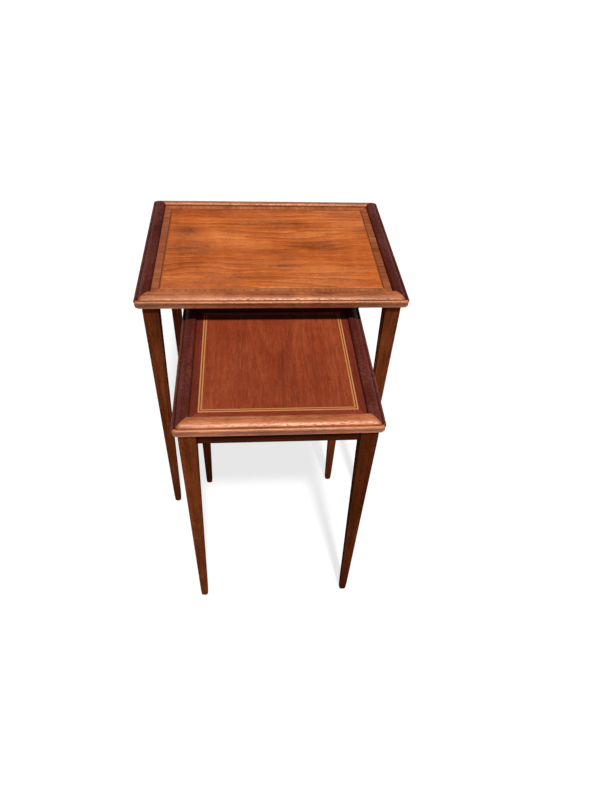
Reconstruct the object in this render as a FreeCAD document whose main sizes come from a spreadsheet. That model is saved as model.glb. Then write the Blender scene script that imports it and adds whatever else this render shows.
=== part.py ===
import FreeCAD, Part
import math
import os
from types import SimpleNamespace

import Sketcher

# A nest of two tables. The frame is +Z up with the origin on the floor, under the middle of the
# pair as it stands with the smaller table drawn out of the larger one towards -Y.
# All sizes are in millimetres.

DRIVING_SIZES = {
    # larger table, overall
    "outerWidth": 455.0,
    "outerDepth": 356.0,
    "outerHeight": 560.0,
    # how the smaller table sits in the larger one
    "drawnOut": 230.0,  # how far its front edge stands ahead of the larger table's
    "sideClearance": 34.5,  # each side, to the larger table's legs
    "backClearance": 10.0,  # behind its back edge when pushed home, to the larger table's back rail
    "overClearance": 12.5,  # above its top, to the larger table's side rails
    # edge moulding section
    "mouldWidth": 25.5,
    "mouldHeight": 21.0,
    "panelDrop": 5.8,  # ridge of the moulding down to the veneered panel
    "lipRun": 5.3,  # run of the slope from the panel up to the ridge
    "ovoloRun": 14.8,
    "ovoloDrop": 6.4,
    "quirkRun": 0.5,
    "quirkDrop": 1.5,
    "beadRadius": 2.6,
    "beadAxis": 11.8,  # height of the bead's widest line above the underside
    "fasciaSetback": 0.7,  # of the flat below the bead
    "nosingRadius": 4.0,  # rounding under the edge
    "cornerRadius": 8.0,  # rounding of the four corners in plan
    "tongueLength": 6.0,
    "tongueThickness": 6.0,
    # veneers
    "veneerThickness": 1.0,
    "crossbandWidth": 12.0,  # larger table's border
    "stringWidth": 3.0,  # larger table's string
    "marginWidth": 11.5,  # smaller table's border
    "inlayWidth": 6.0,  # smaller table's light-dark-light strip
    # legs
    "legSize": 26.0,
    "footSize": 12.6,
    "footShift": 3.4,  # how far the leg's two outer faces lean in by the floor
    "footRadius": 4.5,
    "squareBelowRail": 2.0,  # leg stays square this far below the rails
    "outerBearing": 11.5,  # part of the leg's head that is under the core, larger table
    "innerBearing": 8.5,  # the same, smaller table
    # rails and their stub tenons
    "railHeight": 24.5,
    "railThickness": 15.0,
    "railSetback": 3.0,  # behind the leg's outer face
    "tenonThickness": 9.0,
    "tenonGap": 1.5,  # between the two tenons that meet in one leg
    "tenonShoulder": 2.0,  # below the tenon
    # leg dowels, glue blocks and their screws
    "dowelRadius": 3.0,
    "dowelDepth": 9.0,  # into the leg, and as far into the core
    "dowelCover": 1.0,  # wood between a dowel and the tenon below it
    "blockWidth": 14.0,
    "blockLength": 40.0,
    "blockHeight": 16.0,
    "blockGap": 2.0,  # between a block and its leg
    "screwRadius": 1.75,
    "screwHeadRadius": 3.5,
    "screwHeadHeight": 2.5,
    "screwBite": 12.0,  # length of thread in the core
}


class Size:
    """A length: its value now, and the expression that keeps it bound to the sheet."""

    def __init__(self, value, text):
        self.value = float(value)
        self.text = text

    def joined(self, other, symbol, value):
        return Size(value, f"({self.text} {symbol} {other.text})")

    def __add__(self, other):
        other = as_size(other)
        return self.joined(other, "+", self.value + other.value)

    def __sub__(self, other):
        other = as_size(other)
        return self.joined(other, "-", self.value - other.value)

    def __mul__(self, other):
        other = as_size(other)
        return self.joined(other, "*", self.value * other.value)

    def __truediv__(self, other):
        other = as_size(other)
        return self.joined(other, "/", self.value / other.value)

    def __neg__(self):
        return Size(-self.value, f"(0 - {self.text})")

    def root(self):
        return Size(math.sqrt(self.value), f"sqrt({self.text})")


def as_size(value):
    return value if isinstance(value, Size) else Size(value, str(value))


def fill_sheet(document):
    sheet = document.addObject("Spreadsheet::Sheet", "Sizes")
    named = SimpleNamespace()
    for row, (name, value) in enumerate(DRIVING_SIZES.items(), start=1):
        sheet.set(f"A{row}", name)
        sheet.set(f"B{row}", str(value))
        sheet.setAlias(f"B{row}", name)
        setattr(named, name, Size(value, f"Sizes.{name}"))
    document.recompute()
    return named


doc = FreeCAD.newDocument("NestingTables")
size = fill_sheet(doc)
nodes = []

ZERO = as_size(0)
LINE_SHARE = as_size(math.sqrt(0.5))  # a 45 degree point's share of its radius

# Sizes that follow from the driving ones.
legs_apart = size.outerWidth - (size.mouldWidth + size.outerBearing) * 2
inner_width = legs_apart - size.sideClearance * 2
rail_inside = size.railSetback + size.railThickness  # leg's outer face to the rail's inner face
outer_inset = size.mouldWidth + size.outerBearing - size.legSize
inner_depth = size.outerDepth - outer_inset - rail_inside - size.backClearance
inner_height = (
    size.outerHeight - size.mouldHeight - size.railHeight - size.overClearance
)
outer_centre_y = size.drawnOut / 2
inner_centre_y = inner_depth / 2 - (size.outerDepth + size.drawnOut) / 2

panel_level = size.mouldHeight - size.panelDrop  # above the underside of the top
core_thickness = panel_level - size.veneerThickness
tongue_base = (core_thickness - size.tongueThickness) / 2
ovolo_radius = size.ovoloDrop / 2 + size.ovoloRun * size.ovoloRun / (size.ovoloDrop * 2)
bead_fall = (
    size.fasciaSetback * (size.beadRadius * 2 - size.fasciaSetback)
).root()  # from the bead's widest line down to the fascia
tenon_centre = size.railSetback + size.railThickness / 2
tenon_length = size.legSize - tenon_centre - size.tenonThickness / 2 - size.tenonGap
tenon_height = size.railHeight - size.dowelDepth - size.dowelCover - size.tenonShoulder

# Each side of a table: its turn about +Z from the back, whose outward direction is +Y.
SIDE_TURNS = {"back": 0, "left": 90, "front": 180, "right": 270}
# Each corner: its turn, its signs in X and Y, and which of the leg's own inner faces, +X or +Y,
# carries the rail of each side.
CORNERS = {
    "front_left": (0, -1, -1, {"left": "y", "front": "x"}),
    "front_right": (90, 1, -1, {"right": "x", "front": "y"}),
    "back_right": (180, 1, 1, {"right": "y", "back": "x"}),
    "back_left": (270, -1, 1, {"left": "x", "back": "y"}),
}


def bind(thing, **sizes):
    """Bind the properties of an object to the sheet."""
    for name, value in sizes.items():
        thing.setExpression(name, value.text)


def place(thing, x, y, z, turn=0):
    """Place an object, turned about +Z, with each coordinate bound to the sheet."""
    spot = FreeCAD.Vector(x.value, y.value, z.value)
    thing.Placement = FreeCAD.Placement(spot, FreeCAD.Rotation(FreeCAD.Vector(0, 0, 1), turn))
    for axis, value in (("x", x), ("y", y), ("z", z)):
        thing.setExpression(f"Placement.Base.{axis}", value.text)
    return thing


def add_node(thing, label):
    thing.Label = label
    nodes.append(thing)
    return thing


# Sketches


def new_sketch(body, role, level=ZERO):
    """A sketch on one of the body's own origin planes, raised to a level along its normal."""
    sketch = body.newObject("Sketcher::SketchObject", "Sketch")
    plane = next(item for item in body.Origin.OriginFeatures if item.Role == role)
    sketch.AttachmentSupport = [(plane, "")]
    sketch.MapMode = "FlatFace"
    sketch.AttachmentOffset = FreeCAD.Placement(
        FreeCAD.Vector(0, 0, level.value), FreeCAD.Rotation()
    )
    sketch.setExpression("AttachmentOffset.Base.z", level.text)
    return sketch


def pin(sketch, geometry, vertex, axis, value):
    """Hold one coordinate of a point of the sketch at a size."""
    if value is ZERO:
        line = -2 if axis == "X" else -1
        sketch.addConstraint(Sketcher.Constraint("PointOnObject", geometry, vertex, line))
        return
    index = sketch.addConstraint(
        Sketcher.Constraint("Distance" + axis, -1, 1, geometry, vertex, value.value)
    )
    sketch.setExpression(f"Constraints[{index}]", value.text)


def draw_outline(sketch, points):
    """Draw a closed outline. A point (x, y) is reached by a line from the point before it, and
    a point (x, y, cx, cy) by an arc about (cx, cy)."""
    first = sketch.GeometryCount
    vertices = []
    for number, point in enumerate(points):
        start = FreeCAD.Vector(points[number - 1][0].value, points[number - 1][1].value, 0)
        end = FreeCAD.Vector(point[0].value, point[1].value, 0)
        if len(point) == 2:
            sketch.addGeometry(Part.LineSegment(start, end))
            vertices.append((1, 2))
            continue
        centre = FreeCAD.Vector(point[2].value, point[3].value, 0)
        leftward = (start - centre).cross(end - centre).z > 0
        low, high = (start, end) if leftward else (end, start)
        low_angle = math.atan2(low.y - centre.y, low.x - centre.x)
        high_angle = math.atan2(high.y - centre.y, high.x - centre.x)
        if high_angle < low_angle:
            high_angle += 2 * math.pi
        circle = Part.Circle(centre, FreeCAD.Vector(0, 0, 1), (start - centre).Length)
        sketch.addGeometry(Part.ArcOfCircle(circle, low_angle, high_angle))
        vertices.append((1, 2) if leftward else (2, 1))

    for number, point in enumerate(points):
        geometry = first + number
        following = (number + 1) % len(points)
        end_vertex = vertices[number][1]
        sketch.addConstraint(
            Sketcher.Constraint(
                "Coincident", geometry, end_vertex, first + following, vertices[following][0]
            )
        )
        if len(point) == 2:
            pin(sketch, geometry, end_vertex, "X", point[0])
            pin(sketch, geometry, end_vertex, "Y", point[1])
            continue
        pin(sketch, geometry, 3, "X", point[2])
        pin(sketch, geometry, 3, "Y", point[3])
        # The arc's start fixes its radius, so its end is held only along the arc.
        across = abs(point[0].value - point[2].value) > abs(point[1].value - point[3].value)
        pin(sketch, geometry, end_vertex, "Y" if across else "X", point[1 if across else 0])


def draw_rectangle(sketch, low_x, low_y, high_x, high_y):
    draw_outline(sketch, [(low_x, low_y), (high_x, low_y), (high_x, high_y), (low_x, high_y)])


def draw_circle(sketch, x, y, radius):
    centre = FreeCAD.Vector(x.value, y.value, 0)
    circle = Part.Circle(centre, FreeCAD.Vector(0, 0, 1), radius.value)
    geometry = sketch.addGeometry(circle)
    pin(sketch, geometry, 3, "X", x)
    pin(sketch, geometry, 3, "Y", y)
    index = sketch.addConstraint(Sketcher.Constraint("Radius", geometry, radius.value))
    sketch.setExpression(f"Constraints[{index}]", radius.text)


# Features


def new_body(name):
    return doc.addObject("PartDesign::Body", name)


def pad(body, sketch, length, both_ways=False):
    feature = body.newObject("PartDesign::Pad", "Pad")
    feature.Profile = sketch
    feature.SideType = "Symmetric" if both_ways else "One side"
    bind(feature, Length=length)
    return feature


def pocket(body, sketch, depth, upward=False):
    """Cut a sketch's outlines into the body, and make sure that it removes something."""
    doc.recompute()
    before = body.Shape.Volume
    feature = body.newObject("PartDesign::Pocket", "Pocket")
    feature.Profile = sketch
    feature.Reversed = upward
    bind(feature, Length=depth)
    doc.recompute()
    if not body.Shape.Volume < before:
        raise RuntimeError(f"{body.Name}: a pocket cut nothing")
    return feature


def box(low_x, low_y, low_z, length, width, height):
    """A Part box from its lowest corner and its three sizes."""
    solid = doc.addObject("Part::Box", "Box")
    bind(solid, Length=length, Width=width, Height=height)
    return place(solid, low_x, low_y, low_z)


def cylinder(x, y, z, radius, height):
    solid = doc.addObject("Part::Cylinder", "Cylinder")
    bind(solid, Radius=radius, Height=height)
    return place(solid, x, y, z)


def fuse(parts):
    solid = doc.addObject("Part::MultiFuse", "Fuse")
    solid.Shapes = parts
    return solid


def cut(base, tool):
    solid = doc.addObject("Part::Cut", "Cut")
    solid.Base = base
    solid.Tool = tool
    return solid


def group(parts):
    """Several separate solids in one node."""
    compound = doc.addObject("Part::Compound", "Group")
    compound.Links = parts
    return compound


# The top


def core_board(table):
    """Core board, tongued on all four edges, bored below for the leg dowels and block screws."""
    half_x = table.width / 2 - size.mouldWidth
    half_y = table.depth / 2 - size.mouldWidth
    body = new_body(table.name + "_core")
    sketch = new_sketch(body, "XY_Plane")
    draw_rectangle(sketch, -half_x, -half_y, half_x, half_y)
    pad(body, sketch, core_thickness)

    tongue = new_sketch(body, "XY_Plane", tongue_base)
    reach_x = half_x + size.tongueLength
    reach_y = half_y + size.tongueLength
    draw_rectangle(tongue, -reach_x, -reach_y, reach_x, reach_y)
    pad(body, tongue, size.tongueThickness)

    dowels = new_sketch(body, "XY_Plane")
    screws = new_sketch(body, "XY_Plane")
    for _turn, sign_x, sign_y, _rails in CORNERS.values():
        draw_circle(dowels, table.dowel_x * sign_x, table.dowel_y * sign_y, size.dowelRadius)
        draw_circle(screws, table.screw_x * sign_x, table.screw_y * sign_y, size.screwRadius)
    pocket(body, dowels, size.dowelDepth, upward=True)
    pocket(body, screws, size.screwBite, upward=True)
    place(body, ZERO, table.centre_y, table.under_top)
    add_node(body, table.name + "_top_core")


def edge_moulding(table, side):
    """One mitred length of the moulding: lip, ovolo, quirk, bead, fascia and rounded nosing, grooved
    for the core's tongue. Its own frame has the table's centre as origin and +Y outwards."""
    length, reach = table.sides[side]
    inner = reach - size.mouldWidth
    ridge = inner + size.lipRun
    ovolo_foot = ridge + size.ovoloRun
    ovolo_level = size.mouldHeight - size.ovoloDrop
    bead_centre = reach - size.beadRadius
    bead_share = size.beadRadius * LINE_SHARE
    fascia = reach - size.fasciaSetback
    nosing_centre = fascia - size.nosingRadius
    groove = inner + size.tongueLength
    tongue_top = tongue_base + size.tongueThickness

    body = new_body(f"{table.name}_{side}_moulding")
    section = new_sketch(body, "YZ_Plane")
    draw_outline(
        section,
        [
            (inner, tongue_base),
            (groove, tongue_base),
            (groove, tongue_top),
            (inner, tongue_top),
            (inner, panel_level),
            (ridge, size.mouldHeight),
            (ovolo_foot, ovolo_level, ridge, size.mouldHeight - ovolo_radius),
            (ovolo_foot + size.quirkRun, ovolo_level - size.quirkDrop),
            (bead_centre - bead_share, size.beadAxis + bead_share),
            (reach, size.beadAxis, bead_centre, size.beadAxis),
            (fascia, size.beadAxis - bead_fall, bead_centre, size.beadAxis),
            (fascia, size.nosingRadius),
            (nosing_centre, ZERO, nosing_centre, size.nosingRadius),
            (inner, ZERO),
        ],
    )
    pad(body, section, length, both_ways=True)

    # The waste past each mitre, with the corner of the plan rounded.
    spare = size.cornerRadius
    half = length / 2
    arc_centre_y = reach - size.cornerRadius
    arc_share = size.cornerRadius * LINE_SHARE
    waste = new_sketch(body, "XY_Plane")
    for sign in (1, -1):
        arc_centre_x = (half - size.cornerRadius) * sign
        draw_outline(
            waste,
            [
                ((half - size.mouldWidth - spare) * sign, inner - spare),
                (arc_centre_x + arc_share * sign, arc_centre_y + arc_share),
                (arc_centre_x, reach, arc_centre_x, arc_centre_y),
                (arc_centre_x, reach + spare),
                ((half + spare) * sign, reach + spare),
                ((half + spare) * sign, inner - spare),
            ],
        )
    pocket(body, waste, size.mouldHeight, upward=True)
    place(body, ZERO, table.centre_y, table.under_top, SIDE_TURNS[side])
    add_node(body, f"{table.name}_{side}_moulding")


def mitred_strip(table, side, label, inset, width):
    """One side of a veneer border: a strip a given way in from the table's edge, mitred."""
    length, reach = table.sides[side]
    body = new_body(label)
    sketch = new_sketch(body, "XY_Plane")
    outer_half = length / 2 - inset
    inner_half = outer_half - width
    draw_outline(
        sketch,
        [
            (-inner_half, reach - inset - width),
            (inner_half, reach - inset - width),
            (outer_half, reach - inset),
            (-outer_half, reach - inset),
        ],
    )
    pad(body, sketch, size.veneerThickness)
    place(body, ZERO, table.centre_y, table.under_top + core_thickness, SIDE_TURNS[side])
    add_node(body, label)


def veneers(table):
    """Border bands, strings or inlay strips, and the field that they frame."""
    for side in SIDE_TURNS:
        band = f"{table.name}_{side}_{table.band_name}"
        mitred_strip(table, side, band, size.mouldWidth, table.band_width)
        string = f"{table.name}_{side}_{table.string_name}"
        mitred_strip(table, side, string, size.mouldWidth + table.band_width, table.string_width)
    inset = size.mouldWidth + table.band_width + table.string_width
    half_x = table.width / 2 - inset
    half_y = table.depth / 2 - inset
    body = new_body(table.name + "_field")
    sketch = new_sketch(body, "XY_Plane")
    draw_rectangle(sketch, -half_x, -half_y, half_x, half_y)
    pad(body, sketch, size.veneerThickness)
    place(body, ZERO, table.centre_y, table.under_top + core_thickness)
    add_node(body, table.name + "_field_veneer")


# The frame


def leg(table, corner):
    """Square leg, tapered below the rails, with a mortise for each of its rails and a bore in its
    head for the dowel. Its own frame has the outer corner as origin and the inner faces at +X
    and +Y."""
    turn, sign_x, sign_y, rail_faces = CORNERS[corner]
    height = table.under_top
    shoulder = height - size.railHeight - size.squareBelowRail
    foot_far = size.footShift + size.footSize
    body = new_body(f"{table.name}_{corner}_leg")
    head = new_sketch(body, "XY_Plane", shoulder)
    draw_rectangle(head, ZERO, ZERO, size.legSize, size.legSize)
    foot = new_sketch(body, "XY_Plane")
    draw_rectangle(foot, size.footShift, size.footShift, foot_far, foot_far)
    taper = body.newObject("PartDesign::AdditiveLoft", "Taper")
    taper.Profile = head
    taper.Sections = [foot]
    taper.Ruled = True
    block = new_sketch(body, "XY_Plane", shoulder)
    draw_rectangle(block, ZERO, ZERO, size.legSize, size.legSize)
    pad(body, block, size.railHeight + size.squareBelowRail)

    tenon_low = tenon_centre - size.tenonThickness / 2
    tenon_high = tenon_centre + size.tenonThickness / 2
    mortise_start = size.legSize - tenon_length
    for side, face in rail_faces.items():
        if side not in table.rail_sides:
            continue
        mortise = new_sketch(body, "XY_Plane", height - size.railHeight + size.tenonShoulder)
        if face == "x":
            draw_rectangle(mortise, mortise_start, tenon_low, size.legSize, tenon_high)
        else:
            draw_rectangle(mortise, tenon_low, mortise_start, tenon_high, size.legSize)
        pocket(body, mortise, tenon_height, upward=True)

    bore = new_sketch(body, "XY_Plane", height)
    dowel_at = size.legSize - table.bearing / 2
    draw_circle(bore, dowel_at, dowel_at, size.dowelRadius)
    pocket(body, bore, size.dowelDepth)

    tip = body.Tip
    sole = [
        f"Edge{number}"
        for number, edge in enumerate(tip.Shape.Edges, start=1)
        if edge.BoundBox.ZMax < size.footRadius.value / 2
    ]
    rounding = body.newObject("PartDesign::Fillet", "FootRounding")
    rounding.Base = (tip, sole)
    bind(rounding, Radius=size.footRadius)
    x = (table.width / 2 - table.inset) * sign_x
    y = table.centre_y + (table.depth / 2 - table.inset) * sign_y
    place(body, x, y, ZERO, turn)
    add_node(body, f"{table.name}_{corner}_leg")


def rail(table, side):
    """A rail with a stub tenon at each end, in the side's own frame."""
    length, reach = table.sides[side]
    clear = length - (table.inset + size.legSize) * 2
    face = reach - table.inset - size.railSetback
    middle = face - size.railThickness / 2
    bar = box(
        -(clear / 2),
        face - size.railThickness,
        table.under_top - size.railHeight,
        clear,
        size.railThickness,
        size.railHeight,
    )
    tenons = box(
        -(clear / 2 + tenon_length),
        middle - size.tenonThickness / 2,
        table.under_top - size.railHeight + size.tenonShoulder,
        clear + tenon_length * 2,
        size.tenonThickness,
        tenon_height,
    )
    solid = place(fuse([bar, tenons]), ZERO, table.centre_y, ZERO, SIDE_TURNS[side])
    add_node(solid, f"{table.name}_{side}_rail")


def screw_shape(x, y, z):
    """Countersunk screw pointing up, with its head at z."""
    head = doc.addObject("Part::Cone", "Head")
    bind(head, Radius1=size.screwHeadRadius, Radius2=size.screwRadius, Height=size.screwHeadHeight)
    place(head, x, y, z)
    shank = cylinder(
        x,
        y,
        z + size.screwHeadHeight,
        size.screwRadius,
        size.blockHeight - size.screwHeadHeight + size.screwBite,
    )
    return fuse([head, shank])


def fixings(table):
    """Glue blocks against the side rails, one screw up through each, and a dowel in each leg."""
    blocks = []
    screws = []
    dowels = []
    under_block = table.under_top - size.blockHeight
    for _turn, sign_x, sign_y, _rails in CORNERS.values():
        screw_x = table.screw_x * sign_x
        screw_y = table.centre_y + table.screw_y * sign_y
        block = box(
            screw_x - size.blockWidth / 2,
            screw_y - size.blockLength / 2,
            under_block,
            size.blockWidth,
            size.blockLength,
            size.blockHeight,
        )
        blocks.append(cut(block, screw_shape(screw_x, screw_y, under_block)))
        screws.append(screw_shape(screw_x, screw_y, under_block))
        dowels.append(
            cylinder(
                table.dowel_x * sign_x,
                table.centre_y + table.dowel_y * sign_y,
                table.under_top - size.dowelDepth,
                size.dowelRadius,
                size.dowelDepth * 2,
            )
        )
    add_node(group(blocks), table.name + "_glue_blocks")
    add_node(group(screws), table.name + "_block_screws")
    add_node(group(dowels), table.name + "_leg_dowels")


def table_sizes(name, width, depth, height, centre_y, bearing, **kinds):
    """Everything about one table that its pieces share."""
    inset = size.mouldWidth + bearing - size.legSize
    dowel_inset = size.mouldWidth + bearing / 2
    block_inset = inset + rail_inside + size.blockWidth / 2
    block_ahead = inset + size.legSize + size.blockGap + size.blockLength / 2
    return SimpleNamespace(
        name=name,
        width=width,
        depth=depth,
        centre_y=centre_y,
        bearing=bearing,
        inset=inset,
        under_top=height - size.mouldHeight,
        sides={
            "back": (width, depth / 2),
            "front": (width, depth / 2),
            "left": (depth, width / 2),
            "right": (depth, width / 2),
        },
        dowel_x=width / 2 - dowel_inset,
        dowel_y=depth / 2 - dowel_inset,
        screw_x=width / 2 - block_inset,
        screw_y=depth / 2 - block_ahead,
        **kinds,
    )


def build_table(table):
    core_board(table)
    veneers(table)
    for side in SIDE_TURNS:
        edge_moulding(table, side)
    for corner in CORNERS:
        leg(table, corner)
    for side in table.rail_sides:
        rail(table, side)
    fixings(table)


build_table(
    table_sizes(
        "outer",
        size.outerWidth,
        size.outerDepth,
        size.outerHeight,
        outer_centre_y,
        size.outerBearing,
        band_name="crossband",
        band_width=size.crossbandWidth,
        string_name="string",
        string_width=size.stringWidth,
        rail_sides=("left", "right", "back"),
    )
)
build_table(
    table_sizes(
        "inner",
        inner_width,
        inner_depth,
        inner_height,
        inner_centre_y,
        size.innerBearing,
        band_name="margin",
        band_width=size.marginWidth,
        string_name="inlay",
        string_width=size.inlayWidth,
        rail_sides=("left", "right", "back", "front"),
    )
)
doc.recompute()

for thing in doc.Objects:
    faults = {"Invalid", "Error"}.intersection(thing.State)
    if faults:
        raise RuntimeError(f"{thing.Label}: {sorted(faults)}")
for node in nodes:
    if node.Shape.isNull() or not node.Shape.isValid() or not node.Shape.Solids:
        raise RuntimeError(f"{node.Label}: no valid solid")

os.makedirs("parts", exist_ok=True)
for node in nodes:
    node.Shape.exportStep(f"parts/{node.Label}.step")
    print(f"{node.Label}: {len(node.Shape.Solids)} solid(s), {node.Shape.Volume:.0f} mm3")
print(f"{len(nodes)} nodes")
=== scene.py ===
import math

import bpy
import numpy as np
from mathutils import Matrix, Vector


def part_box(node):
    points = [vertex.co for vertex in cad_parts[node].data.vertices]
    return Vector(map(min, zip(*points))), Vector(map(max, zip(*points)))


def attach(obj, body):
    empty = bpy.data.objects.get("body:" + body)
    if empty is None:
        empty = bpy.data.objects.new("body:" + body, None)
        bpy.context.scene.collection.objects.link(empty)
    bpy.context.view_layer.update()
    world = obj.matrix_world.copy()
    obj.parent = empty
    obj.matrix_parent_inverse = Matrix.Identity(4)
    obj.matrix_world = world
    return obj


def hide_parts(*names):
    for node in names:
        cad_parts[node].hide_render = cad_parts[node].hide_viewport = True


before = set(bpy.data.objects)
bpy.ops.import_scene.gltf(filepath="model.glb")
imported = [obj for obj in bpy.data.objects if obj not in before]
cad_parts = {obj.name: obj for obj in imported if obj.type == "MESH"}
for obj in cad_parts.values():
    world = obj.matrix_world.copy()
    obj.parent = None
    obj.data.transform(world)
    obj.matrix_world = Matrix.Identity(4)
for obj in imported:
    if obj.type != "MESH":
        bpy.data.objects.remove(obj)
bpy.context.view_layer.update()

# A nest of two mahogany tables: the smaller one stands drawn out from under the larger one.
# Metres throughout. Places and overall sizes are read from the frame, finer ones are set here.

bodyOf = {"outer": "larger_table", "inner": "smaller_table"}
sideTurns = {"back": 0.0, "left": 90.0, "front": 180.0, "right": 270.0}
cornerTurns = {"front_left": 0.0, "front_right": 90.0, "back_right": 180.0, "back_left": 270.0}


def outwardFaces(points, faces):
    # six times the signed volume: the sum over fan triangles of a . (b x c), positive when faces look out
    volume = 0.0
    for face in faces:
        corner = points[face]
        volume += np.einsum("i,ji->", corner[0], np.cross(corner[1:-1], corner[2:]))
    return faces if volume > 0 else [face[::-1] for face in faces]


def gridFaces(rows, columns, closed):
    # quads between neighbouring rows and columns of a grid, joined round when closed
    row = np.arange(rows - 1)[:, None]
    column = np.arange(columns if closed else columns - 1)[None, :]
    following = (column + 1) % columns
    quads = np.stack(
        [row * columns + column, row * columns + following,
         (row + 1) * columns + following, (row + 1) * columns + column], axis=-1)
    return quads.reshape(-1, 4)


def tubeFaces(rows, columns):
    # the quads of a closed tube and the caps on its two ends
    last = (rows - 1) * columns
    caps = [list(range(columns)), list(range(last, last + columns))]
    return [list(face) for face in gridFaces(rows, columns, True)] + caps


def grainOffset(generator):
    # a random place in the wood, so that no two pieces share their figure
    return generator.uniform(-3, 3, 3)


def addPiece(name, points, faces, table, nodes, finish, attributes):
    # a mesh object at the origin that rides on its table and stands for its CAD node
    smoothAngle = 32
    mesh = bpy.data.meshes.new(name)
    outward = [list(map(int, face)) for face in outwardFaces(points, faces)]
    mesh.from_pydata(points.tolist(), [], outward)
    mesh.update()
    for key, values in attributes.items():
        if values.ndim == 2:
            mesh.attributes.new(key, "FLOAT_VECTOR", "POINT").data.foreach_set("vector", values.ravel())
        else:
            mesh.attributes.new(key, "FLOAT", "POINT").data.foreach_set("value", values.ravel())
    mesh.shade_smooth()
    mesh.set_sharp_from_angle(angle=math.radians(smoothAngle))
    mesh.materials.append(finish)
    piece = bpy.data.objects.new(name, mesh)
    bpy.context.scene.collection.objects.link(piece)
    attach(piece, bodyOf[table])
    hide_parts(*nodes)


def turned(points, degrees, centre):
    # rotation about +Z by an angle, then a shift: x' = x cos a - y sin a, y' = x sin a + y cos a
    angle = math.radians(degrees)
    cosine, sine = math.cos(angle), math.sin(angle)
    x, y, z = points[:, 0], points[:, 1], points[:, 2]
    return np.stack([x * cosine - y * sine, x * sine + y * cosine, z], axis=1) + np.array(centre)


def arcPoints(cx, cy, radius, start, end, count):
    # points on a circle: (cx + r cos a, cy + r sin a), a in degrees from start to end
    angle = np.radians(np.linspace(start, end, count))
    return np.stack([cx + radius * np.cos(angle), cy + radius * np.sin(angle)], axis=1)


def waviness(distance, seed, lengths=(0.21, 0.083, 0.037)):
    # hand-finished unevenness along a length, between -1 and 1: the mean of a few sines of set wavelengths
    phases = np.random.default_rng(seed).uniform(0, 2 * np.pi, len(lengths))
    waves = [np.sin(2 * np.pi * distance / wave + phase) for wave, phase in zip(lengths, phases)]
    return sum(waves) / len(lengths)


def tableSizes(table):
    # each measure is a difference between sides of the frame's boxes
    frontLow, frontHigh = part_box(table + "_front_moulding")
    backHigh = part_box(table + "_back_moulding")[1]
    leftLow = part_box(table + "_left_moulding")[0]
    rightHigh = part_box(table + "_right_moulding")[1]
    fieldLow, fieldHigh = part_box(table + "_field_veneer")
    legLow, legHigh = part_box(table + "_front_left_leg")
    railLow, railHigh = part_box(table + "_back_rail")
    width, depth = rightHigh.x - leftLow.x, backHigh.y - frontLow.y
    return {
        "width": width,
        "centre": (0.0, (backHigh.y + frontLow.y) / 2, 0.0),
        "underTop": frontLow.z, "ridge": frontHigh.z,
        "mouldWidth": frontHigh.y - frontLow.y,
        "panel": fieldHigh.z, "veneer": fieldHigh.z - fieldLow.z,
        "fieldHalfX": fieldHigh.x, "fieldHalfY": (fieldHigh.y - fieldLow.y) / 2,
        "legSize": legHigh.x - legLow.x, "legInset": legLow.x - leftLow.x,
        "railHeight": railHigh.z - railLow.z, "railThickness": railHigh.y - railLow.y,
        "railSetback": backHigh.y - (legLow.x - leftLow.x) - railHigh.y,
        "halfLength": {"back": width / 2, "front": width / 2, "left": depth / 2, "right": depth / 2},
        "reach": {"back": depth / 2, "front": depth / 2, "left": width / 2, "right": width / 2},
    }


sizes = {table: tableSizes(table) for table in bodyOf}
print("sizes read from the frame")


class Wire:
    # one output of a shader tree; the operators add Math nodes
    def __init__(self, shader, socket):
        self.shader, self.socket = shader, socket

    def maths(self, operation, *values, clamp=False):
        settings = {"operation": operation, "use_clamp": clamp}
        return self.shader.add("Math", settings, dict(enumerate(values)))

    def __add__(self, other):
        return self.maths("ADD", self, other)

    def __radd__(self, other):
        return self.maths("ADD", other, self)

    def __sub__(self, other):
        return self.maths("SUBTRACT", self, other)

    def __rsub__(self, other):
        return self.maths("SUBTRACT", other, self)

    def __mul__(self, other):
        return self.maths("MULTIPLY", self, other)

    def __truediv__(self, other):
        return self.maths("DIVIDE", self, other)

    def __neg__(self):
        return self.maths("MULTIPLY", self, -1.0)

    def __abs__(self):
        return self.maths("ABSOLUTE", self)

    def clamped(self):
        return self.maths("ADD", self, 0.0, clamp=True)

    def fraction(self):
        return self.maths("FRACT", self)

    def exponential(self):
        return self.maths("EXPONENT", self)

    def between(self, low, high):
        # smooth step: 0 below low, 1 above high
        return self.shader.add("MapRange", {"interpolation_type": "SMOOTHSTEP"},
                               {"Value": self, "From Min": low, "From Max": high})


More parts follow.
